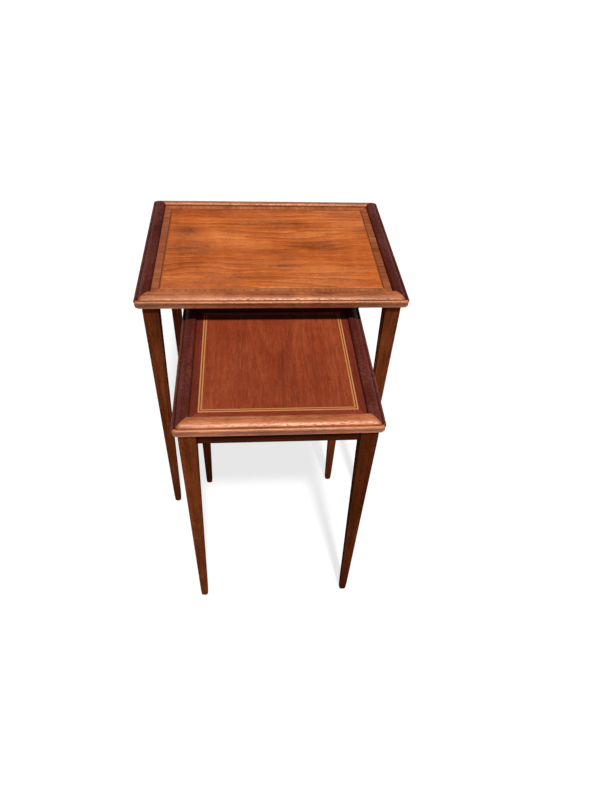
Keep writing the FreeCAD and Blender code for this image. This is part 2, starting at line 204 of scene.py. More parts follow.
class Shader:
    # a material, and short ways to add nodes to its surface
    def __init__(self, name):
        self.material = bpy.data.materials.new(name)
        self.material.use_nodes = True
        self.tree = self.material.node_tree
        self.surface = self.tree.nodes["Principled BSDF"]

    def add(self, kind, settings=None, links=None, output=0):
        # any node: its settings first, then the values or wires of its inputs
        node = self.tree.nodes.new("ShaderNode" + kind)
        for key, value in (settings or {}).items():
            if key == "stops":
                self.setStops(node.color_ramp, value)
            else:
                setattr(node, key, value)
        for key, value in (links or {}).items():
            self.join(value, node.inputs[key])
        return Wire(self, node.outputs[output])

    def setStops(self, ramp, stops):
        # places and colours of a ramp, in order
        while len(ramp.elements) < len(stops):
            ramp.elements.new(0.5)
        for element, (place, colour) in zip(ramp.elements, stops):
            element.position = place
            element.color = (*colour, 1.0)

    def join(self, value, socket):
        # a wire is linked, anything else is set on the socket
        if isinstance(value, Wire):
            self.tree.links.new(value.socket, socket)
        elif isinstance(value, (tuple, list)) and len(value) == 3 and len(socket.default_value) == 4:
            socket.default_value = (*value, 1.0)
        else:
            socket.default_value = value

    def set(self, **inputs):
        # sockets of the surface, named without their spaces
        for socket in self.surface.inputs:
            key = socket.name.replace(" ", "")
            if key in inputs:
                self.join(inputs[key], socket)

    def noise(self, vector, stretch, detail=2.0, roughness=0.5):
        # a noise of the vector times the stretch: a larger stretch makes it finer
        scaled = self.add("VectorMath", {"operation": "MULTIPLY"}, {0: vector, 1: stretch})
        return self.add("TexNoise", {"noise_dimensions": "3D"},
                        {"Vector": scaled, "Scale": 1.0, "Detail": detail, "Roughness": roughness})

    def mix(self, factor, low, high):
        # colours: low where the factor is 0, high where it is 1
        return self.add("Mix", {"data_type": "RGBA"}, {0: factor, 6: low, 7: high}, output=2)

    def parts(self, vector):
        # a vector's along and across coordinates
        split = self.add("SeparateXYZ", {}, {0: vector}).socket.node
        return Wire(self, split.outputs[0]), Wire(self, split.outputs[1])

    def bump(self, height, distance, strength):
        return self.add("Bump", {}, {"Strength": strength, "Distance": distance, "Height": height})

    def attribute(self, name, output):
        # output 1 is a vector, output 2 a single value
        return self.add("Attribute", {"attribute_name": name}, output=output)


def linear(red, green, blue):
    # display colour, 0 to 255, to scene-linear
    share = np.array([red, green, blue]) / 255.0
    bright = ((share + 0.055) / 1.055) ** 2.4
    return tuple(float(v) for v in np.where(share <= 0.04045, share / 12.92, bright))


def shaded(colour, amount):
    # a display colour times an amount, as scene-linear
    return linear(*(amount * v for v in colour))


def rampStops(tones, places):
    # stops of a ramp from three display colours
    return [(place, linear(*tone)) for place, tone in zip(places, tones)]


# Each polished wood: its colours from dark to light, how strongly each scale of figure shows, its gloss.
# A blot is its middle along and across, its reach along and across, and how much it darkens.
woods = {
    "outerField": {
        "dark": (125, 53, 19), "mid": (191, 96, 41), "light": (228, 137, 66),
        "broad": 0.70, "streak": 0.55, "fibre": 0.55, "mottle": 0.24, "line": 0.45, "pore": 0.45,
        "worn": (214, 140, 92), "roughness": 0.42, "gloss": 0.30, "sway": 0.012, "haze": 0.34,
        "growth": 62.0,
        "blots": [(0.064, 0.006, 0.042, 0.012, 0.24), (-0.145, 0.050, 0.026, 0.014, 0.22),
                  (0.028, -0.068, 0.030, 0.005, 0.30), (-0.150, -0.050, 0.050, 0.060, 0.16),
                  (-0.080, 0.018, 0.040, 0.016, -0.20), (0.010, -0.120, 0.150, 0.014, -0.10),
                  (0.120, 0.070, 0.060, 0.030, -0.08), (0.0, 0.128, 0.260, 0.034, 0.13),
                  (-0.190, 0.0, 0.045, 0.200, 0.10)],
    },
    # smaller field: the same wood as the larger one, painted darker for the weaker sheen of its grain
    # running front to back: painted shade
    "innerField": {
        "dark": (97, 35, 20), "mid": (136, 56, 29), "light": (167, 82, 49),
        "broad": 0.30, "streak": 0.34, "fibre": 0.60, "mottle": 0.20, "line": 0.32, "pore": 0.40,
        "worn": (170, 90, 60), "roughness": 0.42, "gloss": 0.30, "sway": 0.006, "haze": 0.10,
        "arches": True,
        "blots": [(0.10, 0.09, 0.10, 0.07, -0.12), (-0.06, -0.06, 0.09, 0.05, -0.05),
                  (0.0, -0.02, 0.05, 0.03, 0.07)],
    },
    "crossband": {
        "dark": (105, 49, 25), "mid": (149, 79, 46), "light": (179, 108, 71),
        "broad": 0.5, "streak": 0.8, "fibre": 0.6, "mottle": 0.1, "line": 0.4, "pore": 0.4,
        "worn": (190, 124, 90), "roughness": 0.42, "gloss": 0.30, "sway": 0.004, "haze": 0.25,
    },
    "margin": {
        "dark": (74, 24, 13), "mid": (107, 39, 25), "light": (136, 57, 36),
        "broad": 0.5, "streak": 0.6, "fibre": 0.5, "mottle": 0.1, "line": 0.3, "pore": 0.4,
        "worn": (140, 70, 50), "roughness": 0.42, "gloss": 0.30, "sway": 0.006, "haze": 0.10,
    },
    # front and back mouldings: the same wood as the sides, painted lighter for the sheen of their grain in
    # the key light: painted sheen
    "mouldAcrossPaintedSheen": {
        "dark": (101, 47, 23), "mid": (154, 82, 48), "light": (186, 115, 76),
        "broad": 0.75, "streak": 0.85, "fibre": 0.8, "mottle": 0.42, "line": 0.45, "pore": 0.6,
        "worn": (216, 150, 108), "roughness": 0.36, "gloss": 0.60, "sway": 0.006, "haze": 0.10,
    },
    # side mouldings: the same wood as the front and back, painted darker where their grain turns the sheen
    # away: painted shade
    "mouldAlongPaintedShade": {
        "dark": (50, 14, 10), "mid": (76, 25, 20), "light": (99, 39, 31),
        "broad": 0.5, "streak": 0.6, "fibre": 0.5, "mottle": 0.2, "line": 0.25, "pore": 0.35,
        "worn": (118, 58, 46), "roughness": 0.46, "gloss": 0.16, "sway": 0.006, "haze": 0.34,
    },
    "leg": {
        "dark": (52, 19, 7), "mid": (84, 37, 15), "light": (112, 56, 25),
        "broad": 0.6, "streak": 0.8, "fibre": 0.6, "mottle": 0.2, "line": 0.35, "pore": 0.5,
        "worn": (140, 92, 64), "roughness": 0.50, "gloss": 0.0, "sway": 0.006, "haze": 0.06,
    },
    # rails: the same wood as the legs, their colours made darker to stand for the shade under the top:
    # painted shade
    "rail": {
        "dark": (32, 9, 3), "mid": (53, 19, 6), "light": (73, 31, 13),
        "broad": 0.5, "streak": 0.6, "fibre": 0.6, "mottle": 0.2, "line": 0.3, "pore": 0.5,
        "worn": (110, 66, 42), "roughness": 0.52, "gloss": 0.0, "sway": 0.006, "haze": 0.0,
    },
}

polishTint = (1.0, 0.62, 0.42)  # old polish is amber
# the pale colour of the dust and painted sheen in the polish
dustAndSheenColour = (0.42, 0.21, 0.15)

# stretches of the noises, along the grain and twice across it, in waves to the metre
grainScale = {
    "sway": (7.0, 16.0, 16.0),
    "broad": (6.0, 24.0, 24.0),
    "streak": (7.0, 150.0, 150.0),
    "mottle": (38.0, 12.0, 12.0),
    "fibre": (60.0, 900.0, 900.0),
    "pore": (150.0, 1500.0, 1500.0),
    "line": (3.6, 84.0, 84.0),
    "linePatch": (7.0, 26.0, 26.0),
    "slow": (4.0, 6.0, 6.0),
    "growthPatch": (5.0, 17.0, 17.0),
    "speck": (260.0, 420.0, 420.0),
    "haze": (9.0, 13.0, 13.0),
    "rub": (40.0, 220.0, 220.0),
    "smear": (18.0, 30.0, 30.0),
}

# amounts of the figure; a pair is where a smooth step starts and ends
figure = {
    "rampPlaces": (0.15, 0.5, 0.85), "blotRagged": 1.6,
    "lineWidth": 0.036, "linePatch": (0.40, 0.60), "lineDark": 0.72, "linesKept": 0.6,
    "growthWander": 6.5, "growthRagged": 0.30, "growthPatch": (0.42, 0.60), "growthShade": 0.20,
    "growthRise": (0.80, 0.98), "growthFall": (0.98, 1.0), "growthLine": 0.8,
    "archCurve": 900.0, "archFall": 9.0, "archRagged": 0.5, "archMiddle": (0.020, 0.070),
    "archPatch": (0.3, 0.6), "archShade": 0.16, "archRise": (0.84, 1.0), "archLine": 0.9,
    "pore": (0.56, 0.70), "poreDark": 0.62, "speck": (0.38, 0.72), "haze": (0.35, 0.65), "dust": 0.45,
    "toneGreen": 1.08, "toneBlue": 1.12, "wearStart": 0.12, "rubLeast": 0.15, "dirtLeast": 0.5,
    "dirtDark": 0.40,
}

polish = {
    "smear": 0.16, "poreRough": 0.12, "dirtRough": 0.25,
    "fibreHeight": 0.35, "streakHeight": 0.2, "poreDepth": 0.9, "bump": 0.00014, "bumpStrength": 0.6,
}


def woodFinish(name, look):
    # Grain runs along x of the piece's own grain vector. Its across coordinate is shifted by a slow noise,
    # then tone = 1/2 + the weighted sum of (noise - 1/2) at several stretches, and colour = ramp(tone).
    shader = Shader(name)
    grain = shader.attribute("grain", 1)
    sway = shader.noise(grain, grainScale["sway"], detail=2.0)
    shift = shader.add("CombineXYZ", {}, {"Y": (sway - 0.5) * (2 * look["sway"])})
    swayed = shader.add("VectorMath", {"operation": "ADD"}, {0: grain, 1: shift})
    along, across = shader.parts(swayed)

    broad = shader.noise(swayed, grainScale["broad"], detail=2.0)
    streak = shader.noise(swayed, grainScale["streak"], detail=4.0, roughness=0.62)
    mottle = shader.noise(swayed, grainScale["mottle"], detail=2.0)
    fibre = shader.noise(grain, grainScale["fibre"], detail=2.0)
    tone = (0.5 + (broad - 0.5) * look["broad"] + (streak - 0.5) * look["streak"]
            + (mottle - 0.5) * look["mottle"] + (fibre - 0.5) * look["fibre"])

    # stains and lights, each listed: depth times exp(-(a / reachA)^2 - (b / reachB)^2)
    for alongMiddle, acrossMiddle, alongReach, acrossReach, depth in look.get("blots", []):
        a, b = (along - alongMiddle) / alongReach, (across - acrossMiddle) / acrossReach
        spread = ((streak - 0.5) * figure["blotRagged"] - a * a - b * b).exponential()
        tone = tone - spread * depth

    # dark growth lines: where a stretched noise crosses 1/2, in patches
    crossing = shader.noise(swayed, grainScale["line"], detail=1.5, roughness=0.4)
    patches = shader.noise(swayed, grainScale["linePatch"], detail=1.0).between(*figure["linePatch"])
    lines = (1.0 - abs(crossing - 0.5).between(0.0, figure["lineWidth"])) * patches
    if look.get("growth"):
        # long growth lines: the last part of each step of across times their number to the metre,
        # bent by a slow noise and roughened by the streaks
        slow = shader.noise(grain, grainScale["slow"], detail=2.0, roughness=0.4)
        wander = (across * look["growth"] + slow * figure["growthWander"]
                  + (streak - 0.5) * figure["growthRagged"])
        ring = wander.fraction()
        seen = shader.noise(swayed, grainScale["growthPatch"], detail=1.0).between(*figure["growthPatch"])
        tone = tone - (ring - 0.5) * seen * figure["growthShade"]
        peak = ring.between(*figure["growthRise"]) * (1.0 - ring.between(*figure["growthFall"]))
        lines = (lines * figure["linesKept"] + peak * seen * figure["growthLine"]).clamped()
    if look.get("arches"):
        # nested arches: lines of constant k c^2 - s a, c the distance across from the middle, a along
        rise = ((across * across) * figure["archCurve"] - along * figure["archFall"]
                + (streak - 0.5) * figure["archRagged"])
        arch = rise.fraction()
        patchy = broad.between(*figure["archPatch"]) * 0.5 + 0.5
        middle = (1.0 - abs(across).between(*figure["archMiddle"])) * patchy
        tone = tone + (arch - 0.5) * middle * figure["archShade"]
        lines = (lines + arch.between(*figure["archRise"]) * middle * figure["archLine"]).clamped()

    stops = rampStops([look["dark"], look["mid"], look["light"]], figure["rampPlaces"])
    colour = shader.add("ValToRGB", {"stops": stops}, {"Fac": tone})
    colour = shader.mix(lines * look["line"], colour, shaded(look["dark"], figure["lineDark"]))
    pores = shader.noise(grain, grainScale["pore"], detail=1.0).between(*figure["pore"])
    colour = shader.mix(pores * look["pore"], colour, shaded(look["dark"], figure["poreDark"]))
    # dust in the polish and a painted sheen: fine pale specks in slow patches
    specks = shader.noise(grain, grainScale["speck"], detail=2.0, roughness=0.7).between(*figure["speck"])
    hazeAndSheenMask = specks * shader.noise(grain, grainScale["haze"], detail=2.0).between(*figure["haze"])
    dustAndSheen = shader.mix(figure["dust"], linear(*look["worn"]), dustAndSheenColour)
    colour = shader.mix(hazeAndSheenMask * look["haze"], colour, dustAndSheen)

    # each piece's tone (on some bands a painted sheen), then the lighter and darker marks of the wear
    # channel, which carries both real wear and painted light
    toneAndSheenOfPiece = shader.attribute("tone", 2)
    toning = shader.add("CombineXYZ", {}, {"X": 1.0 + toneAndSheenOfPiece,
                                           "Y": 1.0 + toneAndSheenOfPiece * figure["toneGreen"],
                                           "Z": 1.0 + toneAndSheenOfPiece * figure["toneBlue"]})
    colour = shader.add("VectorMath", {"operation": "MULTIPLY"}, {0: colour, 1: toning})
    wear = shader.attribute("wear", 2)
    rub = shader.noise(grain, grainScale["rub"], detail=3.0, roughness=0.65)
    # lighter where the channel is above 0: rubbed arrises and crests, and painted highlights on the
    # mouldings' shoulders and beads
    rubAndHighlight = ((wear - figure["wearStart"]).clamped() * (rub + figure["rubLeast"])).clamped()
    colour = shader.mix(rubAndHighlight, colour, linear(*look["worn"]))
    # darker where it is below 0: painted shade in the mouldings' hollows, under their beads and at the
    # legs' heads; dark veneer rims; legs darker towards the feet and rails towards their ends
    dirtAndShade = ((-wear) * (figure["dirtLeast"] + rub)).clamped()
    colour = shader.mix(dirtAndShade, colour, shaded(look["dark"], figure["dirtDark"]))

    smears = shader.noise(grain, grainScale["smear"], detail=3.0, roughness=0.6)
    rough = (look["roughness"] + (smears - 0.5) * polish["smear"] + pores * polish["poreRough"]
             + dirtAndShade * polish["dirtRough"])
    height = fibre * polish["fibreHeight"] + streak * polish["streakHeight"] - pores * polish["poreDepth"]
    shader.set(BaseColor=colour, Roughness=rough.clamped(),
               Normal=shader.bump(height, polish["bump"], polish["bumpStrength"]),
               SpecularIORLevel=look["gloss"], SpecularTint=polishTint)
    return shader.material


inlays = {
    "inlay": {"colours": [(192, 128, 76), (112, 50, 26), (188, 122, 74)], "edges": [0.36, 0.64]},
    "stringPale": {"colours": [(120, 60, 28), (204, 128, 68)], "edges": [0.45]},
    "stringDark": {"colours": [(104, 48, 20), (150, 78, 36)], "edges": [0.60]},
}

inlayFigure = {
    "fibre": (60.0, 1800.0, 1800.0), "patch": (22.0, 22.0, 22.0), "ragged": 0.05, "blur": 0.03,
    "shade": 0.80, "fibreShade": 0.26, "patchShade": 0.20, "roughness": 0.36, "patchRough": 0.14,
    "gloss": 0.30, "bump": 0.00008, "bumpStrength": 0.4,
}


def inlayFinish(name, bands):
    # A strip glued up from thin lines: the colour is a ladder of smooth steps on the strip's own
    # across coordinate, 0 at its outer edge and 1 at its inner edge.
    shader = Shader(name)
    look = inlayFigure
    grain = shader.attribute("grain", 1)
    across = shader.attribute("across", 2)
    fibre = shader.noise(grain, look["fibre"], detail=3.0)
    patches = shader.noise(grain, look["patch"], detail=2.0)
    ragged = across + (fibre - 0.5) * look["ragged"]
    colour = linear(*bands["colours"][0])
    for edge, band in zip(bands["edges"], bands["colours"][1:]):
        step = ragged.between(edge - look["blur"], edge + look["blur"])
        colour = shader.mix(step, colour, linear(*band))
    shade = look["shade"] + fibre * look["fibreShade"] + patches * look["patchShade"]
    colour = shader.add("VectorMath", {"operation": "SCALE"}, {0: colour, "Scale": shade})
    shader.set(BaseColor=colour, Roughness=look["roughness"] + (patches - 0.5) * look["patchRough"],
               Normal=shader.bump(fibre, look["bump"], look["bumpStrength"]),
               SpecularIORLevel=look["gloss"])
    return shader.material


bareFigure = {
    "slow": (6.0, 16.0, 16.0), "fuzz": (900.0, 900.0, 900.0), "stain": (14.0, 14.0, 14.0),
    "streak": 1.1, "rampPlaces": (0.2, 0.55, 0.85), "stainStep": (0.55, 0.75), "stainAmount": 0.35,
    "roughness": 0.78, "fuzzRough": 0.2, "refraction": 1.4, "fuzzHeight": 0.5,
    "bump": 0.0002, "bumpStrength": 0.6,
}


def bareWood(name, tones, stretch, knots):
    # unpolished secondary wood: streaks along x in object space, with darker knots of a slow noise
    shader = Shader(name)
    look = bareFigure
    place = shader.add("TexCoord", output=3)
    streak = shader.noise(place, stretch, detail=5.0, roughness=0.6)
    slow = shader.noise(place, look["slow"], detail=2.0)
    fuzz = shader.noise(place, look["fuzz"], detail=2.0)
    tone = 0.5 + (streak - 0.5) * look["streak"] + (slow - 0.5) * knots
    colour = shader.add("ValToRGB", {"stops": rampStops(tones, look["rampPlaces"])}, {"Fac": tone})
    stain = shader.noise(place, look["stain"], detail=4.0, roughness=0.7).between(*look["stainStep"])
    colour = shader.mix(stain * look["stainAmount"], colour, linear(*tones[0]))
    shader.set(BaseColor=colour, Roughness=look["roughness"] + (fuzz - 0.5) * look["fuzzRough"],
               IOR=look["refraction"],
               Normal=shader.bump(fuzz * look["fuzzHeight"] + streak, look["bump"], look["bumpStrength"]))
    return shader.material


steel = {
    "tarnish": (700.0, 700.0, 700.0), "tarnishStep": (0.42, 0.66), "scratch": (400.0, 4200.0, 400.0),
    "bright": (176, 170, 156), "brown": (104, 82, 58), "metalLost": 0.6,
    "roughness": 0.32, "tarnishRough": 0.3, "bump": 0.00004, "bumpStrength": 0.5,
}


def screwSteel(name):
    # dulled plating: one noise mixes bright metal with rougher brown tarnish, another scratches it
    shader = Shader(name)
    place = shader.add("TexCoord", output=3)
    patches = shader.noise(place, steel["tarnish"], detail=4.0, roughness=0.65)
    tarnish = patches.between(*steel["tarnishStep"])
    scratches = shader.noise(place, steel["scratch"], detail=2.0)
    colour = shader.mix(tarnish, linear(*steel["bright"]), linear(*steel["brown"]))
    shader.set(BaseColor=colour, Metallic=1.0 - tarnish * steel["metalLost"],
               Roughness=steel["roughness"] + tarnish * steel["tarnishRough"],
               Normal=shader.bump(scratches, steel["bump"], steel["bumpStrength"]))
    return shader.material


finishes = {name: woodFinish(name, look) for name, look in woods.items()}
finishes.update({name: inlayFinish(name, bands) for name, bands in inlays.items()})
# the core board, its colours made nearly black-brown so that little light bounces from the larger top's
# underside onto the smaller top: painted shade
finishes["coreBoardDarkenedForShade"] = bareWood(
    "coreBoardDarkenedForShade", [(30, 18, 10), (44, 27, 16), (62, 40, 25)], (9.0, 160.0, 160.0), 0.9)
finishes["beech"] = bareWood(
    "beech", [(150, 108, 70), (196, 154, 108), (216, 180, 136)], (40.0, 260.0, 260.0), 0.5)
finishes["screwSteel"] = screwSteel("screwSteel")
print("finishes made:", len(finishes))


mouldShape = {
    "lipRun": 0.0053, "lipArc": 84, "ovoloRun": 0.0148, "ovoloDrop": 0.0064,
    "quirkRun": 0.0005, "quirkDrop": 0.0015,
    "beadRadius": 0.0026, "beadAxis": 0.0118, "beadStart": 140,
    "fasciaSetback": 0.0007, "nosingRadius": 0.0040,
    "cornerRadius": 0.0080, "cornerRadiusInside": 0.0006,
    "lipSteps": 11, "ovoloSteps": 26, "beadSteps": 22, "nosingSteps": 14,
    "alongSteps": 120, "cornerSteps": 6, "unevenness": 0.00007, "insideFace": 0.0005,
}

# wear and painted light along each part of the section: point numbers and values, above 0 lighter, below 0
# darker
mouldWearAndPaintedLight = {
    # the lip: painted shade at its foot against the panel, its crest rubbed lighter
    "lip": ([0, 3, 10], [-0.9, -0.15, 0.25]),
    # the ovolo: rubbed at its top, a painted highlight on its shoulder, painted shade at its foot
    "ovolo": ([0, 8, 18, 23, 25], [0.20, 0.05, 0.30, 0.1, -0.25]),
    # the quirk: painted shade
    "quirk": ([0, 2], [-0.45, -0.45]),
    # the bead: painted shade next to the quirk and on its underside, a painted highlight on its crest
    "bead": ([0, 3, 8, 14, 21], [-0.3, 0.15, 0.8, 0.2, -0.6]),
    # the nosing: painted shade on its upright part under the bead
    "nosing": ([0, 3, 13], [-0.25, -0.10, 0.0]),
    "sole": ([0, 2], [0.0, 0.0]),
}

dents = {
    "count": 9, "depth": 0.00035, "leastDepth": 0.4, "pressed": 0.7, "within": 0.95, "columns": (-14, 26),
    "reach": (0.0009, 0.0022), "insideFace": 0.004, "wear": 0.5, "wearRange": (-0.4, 1.0),
}


def mouldSection(shape, width, height, panel):
    # (outward, up, wear and painted light) round the section: lip, ovolo, quirk, bead, fascia, nosing, sole
    # and back
    lipEnd = shape["lipRun"]
    radius = shape["ovoloDrop"] / 2 + shape["ovoloRun"] ** 2 / (2 * shape["ovoloDrop"])
    ovoloEnd = math.degrees(math.atan2(radius - shape["ovoloDrop"], shape["ovoloRun"]))
    lipAngle = np.radians(np.linspace(0, shape["lipArc"], shape["lipSteps"]))
    quirkX = lipEnd + shape["ovoloRun"] + shape["quirkRun"]
    quirkZ = height - shape["ovoloDrop"] - shape["quirkDrop"]
    fascia = width - shape["fasciaSetback"]
    beadX = width - shape["beadRadius"]
    beadEnd = -math.degrees(math.acos((fascia - beadX) / shape["beadRadius"]))
    nosing = shape["nosingRadius"]
    lipOut, lipUp = lipEnd * (1 - np.cos(lipAngle)), panel + (height - panel) * np.sin(lipAngle)
    parts = {
        "lip": np.stack([lipOut, lipUp], axis=1),
        "ovolo": arcPoints(lipEnd, height - radius, radius, 90, ovoloEnd, shape["ovoloSteps"]),
        # the quirk's floor, a little rounded
        "quirk": np.array([[quirkX - 0.0002, quirkZ + 0.0004], [quirkX, quirkZ],
                           [quirkX + 0.0003, quirkZ + 0.0001]]),
        "bead": arcPoints(beadX, shape["beadAxis"], shape["beadRadius"], shape["beadStart"], beadEnd,
                          shape["beadSteps"]),
        "nosing": arcPoints(fascia - nosing, nosing, nosing, 0, -90, shape["nosingSteps"]),
        "sole": np.array([[width * 0.4, 0.0], [0.0, 0.0], [0.0, panel * 0.5]]),
    }
    wear = [np.interp(np.arange(len(part)), *mouldWearAndPaintedLight[name]) for name, part in parts.items()]
    return np.concatenate(list(parts.values())), np.concatenate(wear)


def edgeMoulding(table, side, tone):
    # The section carried along the side: x = (half - r) f + r cos a, y = reach - r + r sin a, where f runs
    # from 1 to -1 along the straight and a turns 45 degrees round each corner, up to the mitres.
    size = sizes[table]
    shape = mouldShape
    outline, wearAndPaintedLightOfSection = mouldSection(shape, size["mouldWidth"], size["ridge"] - size["underTop"],
                                          size["panel"] - size["underTop"])
    outward, up = outline[:, 0], outline[:, 1]
    share = outward / size["mouldWidth"]
    radius = shape["cornerRadiusInside"] + (shape["cornerRadius"] - shape["cornerRadiusInside"]) * share
    half = size["halfLength"][side] - size["mouldWidth"] + outward
    reach = size["reach"][side] - size["mouldWidth"] + outward
    turn = np.radians(np.linspace(45, 90, shape["cornerSteps"] + 1)[:-1])
    straight = np.linspace(1, -1, shape["alongSteps"])
    along = np.concatenate([np.ones(len(turn)), straight, -np.ones(len(turn))])
    cosine = np.concatenate([np.cos(turn), np.zeros(len(straight)), -np.cos(turn)[::-1]])
    sine = np.concatenate([np.sin(turn), np.ones(len(straight)), np.sin(turn)[::-1]])
    x = (half - radius)[None, :] * along[:, None] + radius[None, :] * cosine[:, None]
    y = (reach - radius)[None, :] + radius[None, :] * sine[:, None]
    z = np.broadcast_to(up[None, :], x.shape).copy()

    seed = int(size["width"] * 1000) + int(sideTurns[side])
    exposed = np.clip(up / up.max(), 0, 1) * (outward > shape["insideFace"])
    z -= shape["unevenness"] * (1 + waviness(x, seed)) * exposed[None, :]
    y -= shape["unevenness"] * (1 + waviness(x, seed + 1)) * exposed[None, :]
    # small dents on the ovolo, quirk and bead: rounded pits, depth times exp(-(d / reach)^2)
    wear = np.broadcast_to(wearAndPaintedLightOfSection[None, :], x.shape).copy()
    local = np.random.default_rng(seed + 2)
    crest = np.argmax(outward + up)
    for _ in range(dents["count"]):
        where = local.uniform(-dents["within"], dents["within"]) * half.max()
        column = int(np.clip(crest + local.integers(*dents["columns"]), 0, len(up) - 1))
        spread = local.uniform(*dents["reach"])
        distance = ((x - where) ** 2 + (outward - outward[column])[None, :] ** 2
                    + (up - up[column])[None, :] ** 2)
        pit = np.exp(-distance / spread ** 2)
        depth = dents["depth"] * local.uniform(dents["leastDepth"], 1.0)
        z -= pit * depth * dents["pressed"]
        y -= pit * depth * dents["pressed"] * (outward > dents["insideFace"])[None, :]
        wear += pit * dents["wear"] * local.uniform(*dents["wearRange"])
    z = np.maximum(z, 0.0)

    flat = np.stack([x, y, z + size["underTop"]], axis=-1).reshape(-1, 3)
    rows, columns = x.shape
    faces = tubeFaces(rows, columns)
    offset = grainOffset(local)
    grain = np.stack([x, y - reach.min(), z], axis=-1).reshape(-1, 3) + offset
    points = turned(flat, sideTurns[side], size["centre"])
    name = table + side.capitalize() + "Moulding"
    across = side in ("front", "back")
    # front and back mouldings take the finish painted lighter, the sides the one painted darker: painted
    # sheen and painted shade of one wood
    finish = finishes["mouldAcrossPaintedSheen" if across else "mouldAlongPaintedShade"]
    addPiece(name, points, faces, table, [f"{table}_{side}_moulding"], finish,
             {"grain": grain, "wear": wear.ravel(), "tone": np.full(len(points), tone)})


mouldTones = {
    "outer": {"front": 0.0, "back": 0.0, "left": 0.0, "right": 0.0},
    "inner": {"front": 0.14, "back": 0.0, "left": 0.06, "right": 0.10},
}
for table in bodyOf:
    for side in sideTurns:
        edgeMoulding(table, side, mouldTones[table][side])
print("edge mouldings made")


veneerShape = {
    "rim": 0.00045, "rimShare": 0.2, "rimDrop": 0.00012, "rimWear": -0.35,
    "narrow": 0.03, "narrowSteps": 8, "steps": 24,
    "ripple": 0.000015, "rippleX": (0.11, 0.047), "rippleY": (0.13, 0.052),
}


def edgeSteps(length, rim, steps):
    # positions across a strip and how far each is over its rounded rim, from 1 at the edge to 0
    over = np.array([1.0, 0.6, 0.25, 0.0])
    middle = np.linspace(rim, length - rim, steps)[1:-1]
    place = np.concatenate([rim * (1 - over), middle, length - rim * (1 - over)[::-1]])
    return place, np.concatenate([over, np.zeros(len(middle)), over[::-1]])


def veneerPiece(name, table, nodes, finish, inner, outer, halfInner, halfOuter, turn,
                crossGrain, tone):
    # A mitred slab: y runs from inner to outer, x = f * half(y) with half(y) straight between its two ends,
    # and z = top - drop * over^2 at the rim. A skirt round it goes down to the core board.
    size, shape = sizes[table], veneerShape
    rim = min(shape["rim"], (outer - inner) * shape["rimShare"])
    steps = shape["narrowSteps"] if outer - inner < shape["narrow"] else shape["steps"]
    across, overAcross = edgeSteps(outer - inner, rim, steps)
    along, overAlong = edgeSteps(1.0, rim / halfOuter, shape["steps"] * 2)
    half = halfInner + (halfOuter - halfInner) * across / (outer - inner)
    x = (1 - 2 * along)[None, :] * half[:, None]
    y = np.broadcast_to((inner + across)[:, None], x.shape)
    over = np.maximum(overAcross[:, None], overAlong[None, :])
    ripple = waviness(x, 3, shape["rippleX"]) * waviness(y, 5, shape["rippleY"])
    z = size["panel"] - shape["rimDrop"] * over ** 2 - shape["ripple"] * (1 + ripple)
    x, y, z = (np.pad(grid, 1, mode="edge") for grid in (x, y, z))
    skirt = np.zeros(x.shape, bool)
    skirt[[0, -1], :] = skirt[:, [0, -1]] = True
    z = np.where(skirt, size["panel"] - size["veneer"], z)
    rows, columns = x.shape
    flat = np.stack([x, y, z], axis=-1).reshape(-1, 3)
    faces = [list(face) for face in gridFaces(rows, columns, False)]
    index = np.arange(rows * columns).reshape(rows, columns)
    ring = np.concatenate([index[0, :], index[1:, -1], index[-1, -2::-1], index[-2:0:-1, 0]])
    faces.append(list(ring))
    seed = sum(map(ord, name))
    # a field stays where it is in its wood, because its stains are given at listed places
    offset = grainOffset(np.random.default_rng(seed)) * (0 if "Field" in name else 1)
    grain = np.stack([y, x, z], axis=-1) if crossGrain else np.stack([x, y, z], axis=-1)
    wear = np.pad(shape["rimWear"] * over ** 2, 1, mode="edge")
    ladder = np.broadcast_to((1 - across / (outer - inner))[:, None], over.shape)
    ladder = np.pad(ladder, 1, mode="edge")
    points = turned(flat, turn, size["centre"])
    addPiece(name, points, faces, table, nodes, finish,
             {"grain": grain.reshape(-1, 3) + offset, "wear": wear.ravel(),
              "tone": np.full(len(points), tone), "across": ladder.ravel()})


# the band tones make the larger table's front and back crossbands and the smaller table's front margin
# lighter than the side bands of the same wood: painted sheen
borders = {
    "outer": {"band": "crossband", "line": "string", "bandSlot": "crossband_veneer", "lineSlot": "string",
              "fieldSlot": "field_veneer_larger", "field": "outerField", "fieldCross": False,
              "bandTones": {"back": 0.28, "left": 0.0, "front": 0.24, "right": 0.0}},
    "inner": {"band": "margin", "line": "inlay", "bandSlot": "margin_veneer", "lineSlot": "inlay_strip",
              "fieldSlot": "field_veneer_smaller", "field": "innerField", "fieldCross": True,
              "bandTones": {"back": 0.0, "left": 0.0, "front": 0.50, "right": 0.0}},
}


